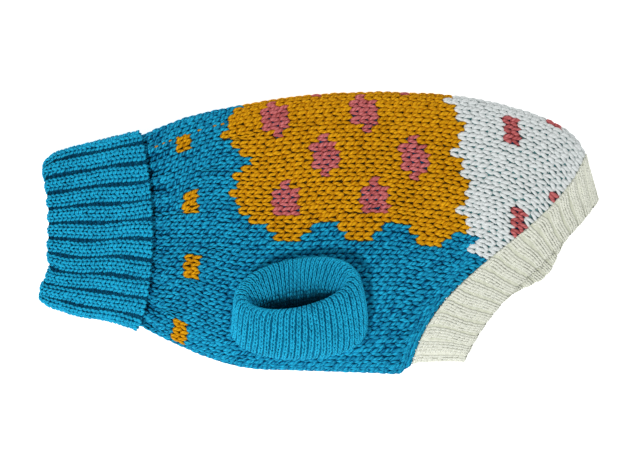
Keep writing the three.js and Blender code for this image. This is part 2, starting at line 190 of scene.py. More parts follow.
# Every stitch is a V of two legs. The columns of a leg: how far along the stitch and how far
# from its wale's middle it is, its thickness, and how deep it dives under its neighbours.
LEG_COLUMNS = ("along", "aside", "thick", "dive")
BULKY_LEG = [
    (-0.22, 0.095, 0.50, 1.25),
    (0.06, 0.140, 0.90, 0.32),
    (0.36, 0.210, 1.00, 0.00),
    (0.70, 0.295, 1.00, 0.00),
    (1.00, 0.355, 0.84, 0.35),
    (1.27, 0.365, 0.50, 1.35),
]
SMALL_LEG = [
    (-0.20, 0.06, 0.60, 1.10),
    (0.16, 0.13, 1.00, 0.12),
    (0.58, 0.27, 1.00, 0.00),
    (0.98, 0.385, 0.82, 0.35),
    (1.30, 0.40, 0.50, 1.25),
]
RIB_LEG = [
    (-0.28, 0.09, 0.60, 0.90),
    (0.12, 0.14, 1.00, 0.10),
    (0.60, 0.23, 1.00, 0.00),
    (1.00, 0.30, 0.88, 0.30),
    (1.34, 0.31, 0.50, 1.05),
]
SMOOTH_LEG = [
    (-0.30, 0.20, 0.60, 0.60),
    (0.15, 0.235, 1.00, 0.06),
    (0.60, 0.255, 1.00, 0.00),
    (1.00, 0.26, 0.94, 0.16),
    (1.35, 0.25, 0.60, 0.70),
]
PURL_LEG = [
    (-0.16, 0.00, 0.90, 0.55),
    (0.22, 0.20, 1.00, 0.00),
    (0.46, 0.44, 0.95, 0.25),
    (0.62, 0.70, 0.60, 1.10),
]
CARRIED_LEG = [
    (0.02, 0.0, 0.50, 0.9),
    (0.22, 0.0, 1.00, 0.1),
    (0.42, 0.0, 1.00, 0.1),
    (0.60, 0.0, 0.50, 0.9),
]
SIDES = 6
STITCH_JITTER = 0.045
STITCH_WOBBLE = 0.028
STITCH_LOFT = 0.13
YARN_UNEVENNESS = 0.09
DIVE_DEPTH = 1.1
LIT_DEPTH = 2.0
SINK_SHADE = 0.5

# Wales of the body panel. Those that start later widen from nothing, as increases do.
WALES_AT_NECK = 28
INCREASES = [(4, 1.9), (9, 2.4), (14, 3.0), (19, 2.2), (24, 2.8), (28, 3.4)]
INCREASE_REACH = 1.2
NARROWEST_WALE = 0.0035
ARMHOLE_LAP = 1.0
# How uneven their widths are, and how that changes from wale to wale and along them
WALE_UNEVENNESS = 0.07
WIDTH_CHANGE, WIDTH_CHANGE_ALONG, WIDTH_SPREAD = 2.4, 0.9, 0.9
# How wales sway: the height of each wave, and its change along and across
WALE_SWAY = 0.0022
WALE_WAVES = [(1.0, 2.3, 9), (0.6, 5.1, 17)]
RIB_SWAY = 0.07
RIB_WAVES = [(1.0, 8, 0.45), (0.7, 20, 1.3)]

# Length of a stitch at places along the body, in the frame's X
COURSE_AT_X = [-125, -70, -30, 60, 110, 190]
COURSE_LENGTH = [5.0, 5.2, 5.9, 5.9, 5.4, 5.3]
SQUEEZED_STITCHES = 5

# The generic colourwork. Wales are counted from the back's fold and courses from the neck.
BLUE, OCHRE, PINK, WHITE = range(4)
YARN_NAMES = ("blue", "ochre", "pink", "white")
SADDLE_START, SADDLE_END = 14, 39
SADDLE_DEPTH = 16
RUMP_DEPTH = 18
# Stepped borders: their period and height, and how far they are moved
FRONT_STEPS = (8, 3, 0)
LOWER_STEPS = (8, 2, 3)
RUMP_STEPS = (6, 2, 2)
# Motifs: their periods in wales and courses, and how far they are moved in wales and courses
LOZENGES = (10, 5, 2, -15)
DOTS = (9, 6, 1, -41)
FLECKS = (9, 5, 0, -3)
BARE_COURSES = 4
FIRST_DOT = 41
FIRST_FLECK, LAST_FLECK = 3, 7

# The wale near the back beside which the carried ochre yarn shows, and the courses where it does
CARRIED_WALE, CARRIED_START, CARRIED_END = 2, 1, 14
CARRIED_SHARE = 0.24
CARRIED_SINK = 0.12
CARRIED_SHOWING = 0.7

# Yarn as a share of its wale's width, and its height as a share of its thickness
BODY_YARN, BODY_FLAT = 0.232, 0.86
CARRIED_YARN, CARRIED_FLAT = 0.46, 0.8
COLLAR_YARN, COLLAR_FLAT = 0.222, 0.9
PURL_YARN, PURL_FLAT = 0.34, 0.8
HEM_YARN, HEM_FLAT = 0.28, 0.42
CUFF_YARN, CUFF_FLAT = 0.215, 0.75

# Ribs: their number, the share of each that its groove takes, and the length of a stitch
COLLAR_RIBS, COLLAR_GROOVE, COLLAR_STITCH = 22, 0.165, 2.85
HEM_RIBS, HEM_GROOVE, HEM_STITCH = 36, 0.21, 3.4
CUFF_RIBS, CUFF_GROOVE, CUFF_STITCH = 52, 0.08, 3.0
RIB_START = 0.095
COLLAR_KNITTED = 0.8
PURL_WIDTH = 0.9
PURL_LAP = 0.95
# How deep a leg lies at the edge of its rib and inside it
COLLAR_SINKS = (0.95, 0.0)
PURL_SINKS = (1.4, 1.4)
HEM_SINKS = (0.25, 0)
CUFF_SINKS = (0, 0)
COLLAR_BRIGHTNESS, HEM_BRIGHTNESS, CUFF_BRIGHTNESS = 1.2, 0.9, 1.15

# Backing sheets: depths of their two sides, and how many rows and columns of the face a cell takes
BODY_BACKING, BODY_CELL = (1.9, 2.9), (3, 2)
COLLAR_BACKING, COLLAR_CELL = (2.0, 2.8), (2, 3)
HEM_BACKING, HEM_CELL = (0.95, 1.4), (2, 2)
CUFF_BACKING_SHARES, CUFF_CELL = (0.36, 0.5), (2, 3)
OCHRE_ZONE, WHITE_ZONE = 0.5, 1.0

# Yarn colours in linear light: the lit strand, and the shade that its hollows keep
YARNS = {
    "blue": ((0.020, 0.53, 0.840), (0.000, 0.044, 0.165)),
    "ochre": ((0.96, 0.48, 0.010), (0.45, 0.165, 0.000)),
    "pink": ((0.82, 0.235, 0.240), (0.34, 0.046, 0.046)),
    "white": ((0.94, 0.98, 0.98), (0.78, 0.84, 0.83)),
    "cream": ((0.96, 0.98, 0.86), (0.88, 0.90, 0.76)),
}
# Colours in the hollows behind the stitches, light and dark: the yarns' own colours and floats, darkened
# as painted shade
BEHIND_BLUE = ((0.002, 0.10, 0.21), (0.000, 0.030, 0.075))
BEHIND_OCHRE = ((0.10, 0.055, 0.006), (0.018, 0.012, 0.004))
BEHIND_WHITE = ((0.22, 0.40, 0.40), (0.00, 0.12, 0.14))
BEHIND_CUFF = ((0.004, 0.22, 0.40), (0.000, 0.075, 0.160))
BEHIND_CREAM = ((0.86, 0.88, 0.74), (0.70, 0.73, 0.58))
# Each backing: its hollows, and the yarns of its purl side, for the blue, ochre and white zones
BEHIND = {
    "body": ((BEHIND_BLUE, BEHIND_OCHRE, BEHIND_WHITE), ("blue", "ochre", "white")),
    "rib": ((BEHIND_BLUE,) * 3, ("blue",) * 3),
    "cuff": ((BEHIND_CUFF,) * 3, ("blue",) * 3),
    "hem": ((BEHIND_CREAM,) * 3, ("cream",) * 3),
}

# The look of the yarn
YARN_SURFACE = {
    "Roughness": 0.9, "Specular IOR Level": 0.06, "Sheen Weight": 0.04, "Sheen Roughness": 0.5,
}
# Painted shade: below the hole lift the yarn keeps this share of its colour, rising to all of it at the
# lit lift
HOLE_LIFT, LIT_LIFT, HOLE_SHADE = 0.02, 0.46, 0.2
PLY_TURNS = 1.6
STREAKS_AROUND, STREAKS_ALONG = 5.0, 1.3
STREAK_STEP, STREAK_STEP_UP = 90.0, 57.0
# Textures: their scale and detail
STREAK_NOISE = (1.6, 1)
FIBRE_NOISE = (2600, 3)
PATCH_NOISE = (45, 2)
BACKING_NOISE = (900, 3)
PURL_WAVES = {"Scale": 62, "Distortion": 1.6, "Detail": 2}
# How much lift, tone, patch, fibre, groove and streak lighten the yarn, from its darkest. Lift and groove
# paint
# shade: the top of a strand lighter, its sides, the hollows and its ply groove darker. The streaks are
# partly fibre and partly painted highlights.
DARKEST = -1.32
YARN_SHARES = (0.40, 0.24, 0.34, 0.24, 0.46, 1.70)
FIBRE_RELIEF = 0.5
YARN_BUMP, BACKING_BUMP, BUMP_STRENGTH = 0.0004, 0.0006, 0.8

# The camera looks straight down on the middle of the photo
MM_PER_PIXEL = 0.664
PICTURE_WIDTH = 624
PICTURE_MIDDLE = (-3.3, 3.65)
LEVEL_IN_FOCUS = 10.0
CAMERA_HEIGHT = 2600.0
SENSOR = 36.0
FARTHEST = 20

# The studio. A light has its place, size and power.
FLOOR_HALF = 3.0
FLOOR_GAP = 0.0006
FLOOR_SURFACE = {
    "Base Color": (0.9, 0.9, 0.9, 1), "Roughness": 0.9,
    "Emission Color": (1, 1, 1, 1), "Emission Strength": 0.75,
}
SKY = 0.40
LIGHTS = [("key", (-1.15, -1.25, 2.45), 0.6, 134), ("fill", (1.2, 1.0, 2.0), 1.6, 15)]


def table_of(rows, names):
    return {name: np.array([row[i] for row in rows], float) for i, name in enumerate(names)}


def with_half_span(table):
    span = np.hypot(table["back_x"] - table["belly_x"], table["back_y"] - table["belly_y"])
    return {**table, "half_span": span / 2}


def joined(*tables):
    return {name: np.concatenate([np.atleast_1d(t[name]) for t in tables]) for name in tables[0]}


def at_places(table, places):
    """The rows of a table at any places along it, every column smoothed in the same way."""
    last = len(next(iter(table.values()))) - 1
    index = np.clip(np.floor(places).astype(int), 0, last - 1)
    t = places - index
    made = {}
    for name, column in table.items():
        before, start, end, after = (column[np.clip(index + k, 0, last)] for k in (-1, 0, 1, 2))
        slope_start = (end - before) / 2
        slope_end = (after - start) / 2
        made[name] = (
            (2 * t**3 - 3 * t**2 + 1) * start + (t**3 - 2 * t**2 + t) * slope_start
            + (3 * t**2 - 2 * t**3) * end + (t**3 - t**2) * slope_end
        )
    if "floor" in made:
        made["floor"] = np.maximum(made["floor"], 0)
    return made


def unit(vectors):
    return vectors / np.maximum(np.linalg.norm(vectors, axis=-1, keepdims=True), TINY)


def run_along(points):
    """The length from the first point to each point of a line."""
    return np.concatenate([[0], np.cumsum(np.linalg.norm(np.diff(points, axis=0), axis=1))])


def rounded(value, roundness):
    """A sine or cosine, changed so that a circle becomes a fuller oval."""
    return np.sign(value) * np.abs(value) ** (2 / roundness)


def across_of(sections):
    return unit(np.stack([
        sections["back_x"] - sections["belly_x"], sections["back_y"] - sections["belly_y"],
    ], axis=-1))


def moved(sections, back_step, belly_step, depth=0.0):
    """The same sections with their folds moved in the plan and their walls moved together."""
    return {
        **sections,
        "back_x": sections["back_x"] + back_step[:, 0],
        "back_y": sections["back_y"] + back_step[:, 1],
        "belly_x": sections["belly_x"] + belly_step[:, 0],
        "belly_y": sections["belly_y"] + belly_step[:, 1],
        "floor": sections["floor"] + depth,
        "crown": sections["crown"] - depth,
    }


def inset(sections, depth):
    """The same sections, moved into the cloth by a depth."""
    step = across_of(sections) * np.reshape(depth, (-1, 1))
    return moved(sections, -step, step, depth)


def advance(sections, distance):
    """The same sections, moved towards the tail."""
    across = across_of(sections) * distance
    step = np.stack([across[:, 1], -across[:, 0]], axis=-1)
    return moved(sections, step, step)


def trough_depth(x, y):
    depth = np.zeros_like(x)
    for middle_x, middle_y, along_reach, across_reach, heading, deep in TROUGHS:
        turn = math.radians(heading)
        dx, dy = x - middle_x, y - middle_y
        along = (dx * math.cos(turn) + dy * math.sin(turn)) / along_reach
        across = (dy * math.cos(turn) - dx * math.sin(turn)) / across_reach
        depth += deep * np.exp(-along**2 - across**2)
    return depth


def smoothstep(value):
    t = np.clip(value, 0, 1)
    return t * t * (3 - 2 * t)


def hollow_height(x, y):
    reach_x = np.maximum(np.abs(x - HOLLOW_X) - HOLLOW_LENGTH, 0)
    reach_y = np.maximum(np.abs(y - HOLLOW_Y) - HOLLOW_WIDTH, 0)
    return HOLLOW_HEIGHT * (1 - smoothstep(np.hypot(reach_x, reach_y) / HOLLOW_RAMP))


def wall_points(sections, near, shares):
    """One wall of each section from the belly fold to the back fold, at shares of its length."""
    roundness = NEAR_ROUNDNESS if near else FAR_ROUNDNESS
    reach = (sections["crown"] if near else sections["floor"]) - sections["fold"]
    belly = np.stack([sections["belly_x"], sections["belly_y"]], axis=-1)
    back = np.stack([sections["back_x"], sections["back_y"]], axis=-1)
    half = np.linalg.norm(back - belly, axis=-1) / 2
    angle = math.pi * (np.arange(FINE_STEPS + 1) / FINE_STEPS - 0.5)
    fine_v = rounded(np.sin(angle), roundness)
    fine_rise = np.abs(rounded(np.cos(angle), roundness))
    steps = np.hypot(np.diff(fine_v) * half[:, None], np.diff(fine_rise) * reach[:, None])
    run = np.concatenate([np.zeros((len(half), 1)), np.cumsum(steps, axis=1)], axis=1)
    run /= run[:, -1:]
    v = np.stack([np.interp(shares, one, fine_v) for one in run])
    rise = np.stack([np.interp(shares, one, fine_rise) for one in run])
    plan = belly[:, None] + (back - belly)[:, None] * ((v + 1) / 2)[..., None]
    across = across_of(sections)
    to_tail = np.stack([across[:, 1], -across[:, 0]], axis=-1)
    w = v * (half / sections["half_span"])[:, None]
    bulge = sections["bow"][:, None] + sections["sway"][:, None] * w
    if not near:
        bulge = bulge + sections["flare"][:, None] * np.exp(-(((w - FLARE_MIDDLE) / FLARE_REACH) ** 2))
    plan = plan + to_tail[:, None] * (bulge * (1 - w * w))[..., None]
    x, y = plan[..., 0], plan[..., 1]
    z = sections["fold"][:, None] + reach[:, None] * rise
    if near:
        z = z - rise * trough_depth(x, y)
    else:
        z = np.maximum(z - SETTLE, sections["floor"][:, None]) + rise * hollow_height(x, y)
    return np.stack([x, y, z], axis=-1)


def rings_of(sections):
    """Whole rings: 0 to 0.5 of a turn over the near wall, and 0.5 to 1 back under the far wall."""
    near = wall_points(sections, True, np.arange(NEAR_COLUMNS) / NEAR_COLUMNS)
    far = wall_points(sections, False, 1 - np.arange(FAR_COLUMNS) / FAR_COLUMNS)
    return np.concatenate([near, far], axis=1)


class Face:
    """A face of cloth as a closed grid of points, rows along the knitting and columns round it.
    Shade is how much darker its hollows make it at each point."""

    def __init__(self, points, shade=0.0):
        self.points = points
        self.shade = shade + np.zeros(points.shape[:2])
        along = np.gradient(points, axis=0)
        around = (np.roll(points, -1, axis=1) - np.roll(points, 1, axis=1)) / 2
        normal = unit(np.cross(around, along))
        outward = points[:3] - points[:3].mean(axis=1, keepdims=True)
        if (normal[:3] * outward).sum() < 0:
            normal = -normal
        self.normals = normal

    def mixed(self, grid, rows, turns):
        """The values of a grid at row numbers and shares of a turn."""
        row_count, column_count = grid.shape[:2]
        row = np.clip(rows, 0, row_count - END_MARGIN)
        column = np.mod(turns, 1) * column_count
        i, j = np.floor(row).astype(int), np.floor(column).astype(int) % column_count
        a, b = row - i, column - np.floor(column)
        if grid.ndim == 3:
            a, b = a[..., None], b[..., None]
        after = (j + 1) % column_count
        return (
            (1 - a) * ((1 - b) * grid[i, j] + b * grid[i, after])
            + a * ((1 - b) * grid[i + 1, j] + b * grid[i + 1, after])
        )

    def sample(self, rows, turns):
        """Points and outward directions at row numbers and shares of a turn."""
        return self.mixed(self.points, rows, turns), unit(self.mixed(self.normals, rows, turns))


def legs_of(face, wales, shape, yarn, flat, rng):
    """The legs of every stitch of some wales. A wale has its left and right edge as shares of a
    turn on every row, and the row where each of its stitches starts. Yarn is the yarn's half
    thickness as a share of the wale's width, and flat is its height as a share of its thickness."""
    leg = table_of(shape, LEG_COLUMNS)
    rows_all, turns_all, width_all, tags, sinks = [], [], [], [], []
    row_numbers = np.arange(len(face.points))
    for wale in wales:
        starts = wale["starts"]
        if len(starts) < 2:
            continue
        count = len(starts) - 1
        number = np.arange(count)
        kept = wale.get("keep", np.ones(count, bool))
        number = number[kept]
        jitter = rng.normal(0, STITCH_JITTER, (len(number), 2, 1))
        along = number[:, None, None] + leg["along"] + jitter
        rows = np.interp(along, np.arange(-1, count + 2), with_ends(starts))
        left = np.interp(rows, row_numbers, wale["left"])
        right = np.interp(rows, row_numbers, wale["right"])
        side = np.array([-1.0, 1.0])[None, :, None]
        wobble = rng.normal(0, STITCH_WOBBLE, (len(number), 2, 1))
        turns = (left + right) / 2 + (right - left) * side * (leg["aside"] + wobble)
        rows_all.append(rows)
        turns_all.append(turns)
        middle = rows[:, 0, 2]
        edges = [
            face.sample(middle, np.interp(middle, row_numbers, wale[edge]))[0]
            for edge in ("left", "right")
        ]
        width_all.append(np.linalg.norm(edges[1] - edges[0], axis=-1))
        tags.append(np.stack([np.full(len(number), wale["number"]), number], axis=-1))
        sinks.append(np.broadcast_to(wale.get("sinks", (0.0, 0.0)), (len(number), 2)))
    rows = np.concatenate(rows_all)
    turns = np.concatenate(turns_all)
    width = np.concatenate(width_all)
    tags = np.concatenate(tags)
    centres, normals = face.sample(rows, turns)
    fullness = 1 + rng.normal(0, YARN_UNEVENNESS, (len(width), 2, 1))
    radius = width[:, None, None] * yarn * leg["thick"] * fullness
    loft = rng.normal(0, STITCH_LOFT, (len(width), 2, 1))
    thickest = radius.max(axis=-1, keepdims=True)
    depth = 1 + leg["dive"] * DIVE_DEPTH + loft
    own_sink = np.concatenate(sinks)[:, :, None]
    sunk = thickest * flat * depth + own_sink
    # Painted shade: sunk legs and the face's own shade add to the depth that darkens the yarn
    depth = depth + SINK_SHADE * own_sink / (thickest * flat) + face.mixed(face.shade, rows, turns)
    centres = centres - normals * sunk[..., None]
    steps = len(shape)
    return {
        "centres": centres.reshape(-1, steps, 3),
        "normals": normals.reshape(-1, steps, 3),
        "radius": radius.reshape(-1, steps),
        "depth": np.broadcast_to(depth, radius.shape).reshape(-1, steps),
        "flat": np.full(2 * len(width), flat),
        "tags": tags.repeat(2, axis=0),
    }


def with_ends(starts):
    """The starts with one more at each end, at the same spacing."""
    return np.concatenate([[2 * starts[0] - starts[1]], starts, [2 * starts[-1] - starts[-2]]])


def picked(legs, mask):
    return {name: value[mask] for name, value in legs.items()}


def tube_mesh(name, legs, brightness, rng):
    """One mesh of closed lengths of yarn with pointed ends, and their own UV map, tone and lift."""
    centres, normals, radius = legs["centres"], legs["normals"], legs["radius"]
    count, rings = radius.shape[0], radius.shape[1] - 2
    tangent = unit(np.gradient(centres, axis=1))
    sideways = unit(np.cross(normals, tangent))
    upward = np.cross(tangent, sideways)
    turn = 2 * math.pi * (np.arange(SIDES) + 0.5) / SIDES
    ring = (
        sideways[:, :, None] * np.cos(turn)[None, None, :, None]
        + upward[:, :, None] * (legs["flat"][:, None] * np.sin(turn))[:, None, :, None]
    )[:, 1:-1]
    walls = centres[:, 1:-1, None] + ring * radius[:, 1:-1, None, None]
    tips = centres[:, [0, -1]]
    points = np.concatenate([walls.reshape(count, -1, 3), tips], axis=1)
    each = rings * SIDES + 2
    start = np.arange(count)[:, None] * each
    index = (start + np.arange(rings * SIDES)).reshape(count, rings, SIDES)
    after = np.roll(index, -1, axis=2)
    first_tip = np.broadcast_to(start + each - 2, (count, SIDES))
    last_tip = first_tip + 1
    quads = np.stack([index[:, :-1], after[:, :-1], after[:, 1:], index[:, 1:]], axis=-1)
    first = np.stack([first_tip, after[:, 0], index[:, 0]], axis=-1)
    last = np.stack([last_tip, index[:, -1], after[:, -1]], axis=-1)
    faces = quads.reshape(-1, 4).tolist() + first.reshape(-1, 3).tolist() + last.reshape(-1, 3).tolist()
    mesh = mesh_of(name, points.reshape(-1, 3), faces)
    du, dv = 1 / (rings + 1), 1 / SIDES
    u = np.broadcast_to(du * np.arange(1, rings)[None, :, None], (count, rings - 1, SIDES))
    v = np.broadcast_to(dv * np.arange(SIDES), (count, SIDES))
    v_walls = np.broadcast_to(v[:, None], u.shape)
    ones = np.ones_like(v)
    corners = [
        [(u, v_walls), (u, v_walls + dv), (u + du, v_walls + dv), (u + du, v_walls)],
        [(0 * ones, v), (du * ones, v + dv), (du * ones, v)],
        [(ones, v), (ones - du, v), (ones - du, v + dv)],
    ]
    uv = np.concatenate([
        np.stack([np.stack(corner, axis=-1) for corner in kind], axis=-2).reshape(-1, 2)
        for kind in corners
    ])
    mesh.uv_layers.new(name="yarn").data.foreach_set("uv", uv.ravel())
    # Lift carries painted shade: it is low on each strand's sides and underside and where the strand lies
    # deep, and the yarn is painted darker there
    outward = (ring * normals[:, 1:-1, None]).sum(axis=-1)
    own_radius = radius / (radius.max(axis=1, keepdims=True) * legs["flat"][:, None])
    depth = legs["depth"][:, 1:-1, None] - outward * own_radius[:, 1:-1, None]
    depth = np.concatenate([depth.reshape(count, -1), legs["depth"][:, [0, -1]]], axis=1)
    tone = np.repeat(brightness + rng.random(count), each)
    write_attribute(mesh, "tone", tone)
    write_attribute(mesh, "lift", np.clip(1 - depth / LIT_DEPTH, 0, 1).ravel())
    return placed(name, mesh)


def mesh_of(name, points, faces):
    mesh = bpy.data.meshes.new(name)
    mesh.from_pydata(((points + SHIFT) * MM).tolist(), [], faces)
    mesh.polygons.foreach_set("use_smooth", np.ones(len(faces), bool))
    mesh.update()
    return mesh


def write_attribute(mesh, name, values):
    mesh.attributes.new(name, "FLOAT", "POINT").data.foreach_set("value", values)


def placed(name, data):
    """A new object in the scene with a mesh, camera or light."""
    piece = bpy.data.objects.new(name, data)
    bpy.context.scene.collection.objects.link(piece)
    return piece


def collar_table():
    return with_half_span(table_of(COLLAR_SECTIONS, COLUMNS))


def body_table():
    rows = collar_table()
    seam = at_places(rows, np.array([COLLAR_EDGE * (1 - NECK_SEAM_BACK / COLLAR_LENGTH)]))
    edge = at_places(rows, np.array([float(COLLAR_EDGE)]))
    under = COLLAR_LAYER + COLLAR_SLIT
    return joined(
        advance(inset(seam, under), SEAM_GAP),
        inset(edge, under + COLLAR_CLEARANCE),
        with_half_span(table_of(BODY_SECTIONS, COLUMNS)),
    )


def body_face():
    table = body_table()
    places = np.linspace(BODY_START, len(table["fold"]) - 1, BODY_ROWS)
    return gathered(Face(rings_of(at_places(table, places))))


def gathered(face):
    """The body's face with a fan of short gathers that runs out of the neck seam, and painted shade in
    their hollows.
    """
    steps = np.diff(face.points, axis=0, prepend=face.points[:1])
    run = np.cumsum(np.linalg.norm(steps, axis=-1), axis=0)
    turn = np.arange(face.points.shape[1]) / face.points.shape[1]
    phase = 2 * math.pi * GATHERS * (turn + GATHER_DRIFT * np.sin(2 * math.pi * GATHER_DRIFT_WAVES * turn))
    change = 1 + GATHER_CHANGE * np.sin(2 * math.pi * GATHER_CHANGE_WAVES * turn + 1)
    wave = (0.5 - 0.5 * np.cos(phase)) * change
    deep = GATHER_DEPTH * wave * np.exp(-((run / GATHER_REACH) ** 2))
    return Face(face.points - face.normals * deep[..., None], GATHER_SHADE * deep)


def collar_face():
    """The outer layer from its free edge, the roll at the fold and the inner layer to the seam."""
    double = 2 * COLLAR_LAYER + COLLAR_SLIT
    fold = COLLAR_EDGE * (double / 2 / COLLAR_LENGTH)
    seam = COLLAR_EDGE * (1 - NECK_SEAM_BACK / COLLAR_LENGTH)
    turns = np.linspace(0, math.pi, COLLAR_ROLL_STEPS)[1:-1]
    places = np.concatenate([
        np.linspace(COLLAR_EDGE, fold, COLLAR_ROWS // 2),
        fold * (1 - np.sin(turns)),
        np.linspace(fold, seam, COLLAR_ROWS // 2),
    ])
    depths = np.concatenate([
        np.zeros(COLLAR_ROWS // 2),
        double / 2 * (1 - np.cos(turns)),
        np.full(COLLAR_ROWS // 2, double),
    ])
    points = rings_of(inset(at_places(collar_table(), places), depths))
    for corner_x, corner_y, reach, drawn_x, drawn_y in COLLAR_CORNERS:
        distance = np.hypot(points[..., 0] - corner_x, points[..., 1] - corner_y)
        to_corner = np.clip(1 - distance / reach, 0, 1)
        points[..., 0] += drawn_x * to_corner
        points[..., 1] += drawn_y * to_corner
    return Face(points)


def hem_table():
    body_end = table_of(BODY_SECTIONS[-1:], COLUMNS)
    return with_half_span(joined(advance(body_end, SEAM_GAP), table_of(HEM_SECTIONS, COLUMNS)))


def hem_face():
    """The outer side from the seam to the edge, the rolled edge, and the inner side back."""
    table = hem_table()
    last = len(table["fold"]) - 1
    turns = np.linspace(0, math.pi, HEM_ROLL_STEPS)[1:-1]
    outer = at_places(table, np.linspace(0, last, HEM_ROWS // 2))
    inner = inset(at_places(table, np.linspace(last, 0, HEM_ROWS // 2)), HEM_WALL)
    end = at_places(table, np.full(len(turns), float(last)))
    roll = inset(end, HEM_WALL / 2 * (1 - np.cos(turns)))
    reach = (HEM_ROLL * np.sin(turns))[:, None]
    points = rings_of(joined(outer, advance(roll, reach), inner))
    return Face(points, shade_inwards(len(points), HEM_DEEP) + shade_under_edge(points))


def shade_inwards(row_count, deep):
    """A shade that grows between two shares of the rows, down into an opening."""
    start, end, shade = deep
    share = np.arange(row_count)[:, None] / row_count
    return shade * smoothstep((share - start) / (end - start))


def shade_under_edge(points):
    """A shade on the inner side of the hem's far wall, close under the edge of its near wall."""
    row_count, column_count = points.shape[:2]
    edge = points[row_count // 2, :column_count // 2:2, :2]
    gap = np.linalg.norm(points[:, :, None, :2] - edge, axis=-1).min(axis=-1)
    number, column = np.indices((row_count, column_count))
    inner_far = (number > row_count * CREASE_START) & (column > column_count // 2)
    return np.where(inner_far, CREASE_SHADE * np.exp(-((gap / CREASE_REACH) ** 2)), 0.0)


def lying_heights(face, from_above):
    """A function that gives the height of a face above or below points of the plan."""
    points = face.points[::PLAN_STEP, ::PLAN_STEP]
    row_count, column_count = points.shape[:2]
    index = np.arange(row_count * column_count).reshape(row_count, column_count)
    after = np.roll(index, -1, axis=1)
    quads = np.stack([index[:-1], after[:-1], after[1:], index[1:]], axis=-1).reshape(-1, 4)
    tree = BVHTree.FromPolygons(points.reshape(-1, 3).tolist(), quads.tolist())
    side = 1.0 if from_above else -1.0
    start = side * PLAN_REACH

    def height(x, y):
        plan = zip(x.ravel(), y.ravel())
        hit = [tree.ray_cast((a, b, start), (0, 0, -side))[0].z for a, b in plan]
        return np.array(hit).reshape(x.shape) - side * CUFF_SEAT

    return height


def cuff_face(rows, roundness, face_height):
    """A cuff from its seam over its rim to the end of the layer that is turned in."""
    row = at_places(table_of(rows, CUFF_COLUMNS), np.linspace(0, len(rows) - 1, CUFF_ROWS))
    angle = np.linspace(0, 2 * math.pi, CUFF_FINE_STEPS + 1)
    along = row["half"][:, None] * rounded(np.cos(angle), roundness)
    share = rounded(np.sin(angle), roundness) / 2
    reach_y = (row["back_y"] - row["belly_y"])[:, None] * share
    reach_z = (row["back_z"] - row["belly_z"])[:, None] * share
    turn = np.radians(row["turn"])[:, None]
    x = row["x"][:, None] + along * np.cos(turn) - reach_y * np.sin(turn)
    y = (row["back_y"] + row["belly_y"])[:, None] / 2 + reach_y * np.cos(turn) + along * np.sin(turn)
    z = (row["back_z"] + row["belly_z"])[:, None] / 2 + reach_z
    _, _, belly_y, belly_z, back_y, back_z, _, _ = rows[0]
    rough = belly_z + (y - belly_y) / (back_y - belly_y) * (back_z - belly_z)
    clinging = row["cling"][:, None] * np.ones_like(y)
    near = clinging > LEAST_CLING
    z[near] += clinging[near] * (face_height(x[near], y[near]) - rough[near])
    rings = np.stack([x, y, z], axis=-1)
    rounds = np.stack([evenly(ring, CUFF_COLUMNS_ROUND) for ring in rings])
    return Face(rounds, shade_inwards(len(rounds), CUFF_DEEP))


def evenly(ring, count):
    """A closed ring again, with points at equal steps round it."""
    run = run_along(ring)
    at = np.arange(count) / count * run[-1]
    return np.stack([np.interp(at, run, ring[:, k]) for k in range(3)], axis=-1)


def waves(rows, along, across):
    """A sum of waves, each with its height and its change along and across."""
    return sum(height * np.sin(a * along + b * across) for height, a, b in rows)


def wale_edges(places):
    """The edges of a wall's wales as shares from the belly fold to the back fold."""
    count = WALES_AT_NECK + len(INCREASES)
    weights = np.ones((len(places), count))
    for wale, start in INCREASES:
        weights[:, wale] = smoothstep((places - start) / INCREASE_REACH)
    number = np.arange(count)
    change = np.sin(number * WIDTH_CHANGE + places[:, None] * WIDTH_CHANGE_ALONG)
    weights *= 1 + WALE_UNEVENNESS * change * np.sin(number * WIDTH_SPREAD)
    edges = np.concatenate([np.zeros((len(places), 1)), np.cumsum(weights, axis=1)], axis=1)
    edges /= edges[:, -1:]
    sway = waves(WALE_WAVES, places[:, None], edges)
    return edges + WALE_SWAY * sway * edges * (1 - edges) * 4


def stitch_starts(face, left, right, length_at):
    """The row where each stitch of a wale starts, from the length along its middle line."""
    rows = np.arange(len(face.points))
    middle, _ = face.sample(rows.astype(float), (left + right) / 2)
    steps = np.linalg.norm(np.diff(middle, axis=0), axis=1)
    counted = np.concatenate([[0], np.cumsum(steps / length_at(middle[1:]))])
    whole = int(counted[-1])
    number = np.arange(whole + 1.0)
    tail = np.clip((number - (whole - SQUEEZED_STITCHES)) / SQUEEZED_STITCHES, 0, 1)
    return np.interp(number + tail * (counted[-1] - whole), counted, rows)


def body_length_at(points):
    return np.interp(points[:, 0], COURSE_AT_X, COURSE_LENGTH)


def inside_armhole(points, margin):
    x = (points[..., 0] - ARMHOLE_X) / (ARMHOLE_LENGTH + margin)
    y = (points[..., 1] - ARMHOLE_Y) / (ARMHOLE_WIDTH + margin)
    return x * x + y * y < 1


def body_wales(face, near):
    """The wales of one wall of the body, each with the stitches that it keeps."""
    table_rows = len(body_table()["fold"])
    edges = wale_edges(np.linspace(BODY_START, table_rows - 1, BODY_ROWS))
    row_numbers = np.arange(len(face.points))
    count = edges.shape[1] - 1
    wales = []
    for k in range(count):
        left, right = edges[:, k] / 2, edges[:, k + 1] / 2
        if not near:
            left, right = 1 - left, 1 - right
        starts = stitch_starts(face, left, right, body_length_at)
        rows = (starts[:-1] + starts[1:]) / 2
        width = np.interp(rows, row_numbers, np.abs(right - left))
        middle, _ = face.sample(rows, np.interp(rows, row_numbers, (left + right) / 2))
        keep = ~inside_armhole(middle, -ARMHOLE_LAP) & (width > NARROWEST_WALE)
        wales.append({
            "number": count - 1 - k, "left": left, "right": right, "starts": starts, "keep": keep,
        })
    return wales


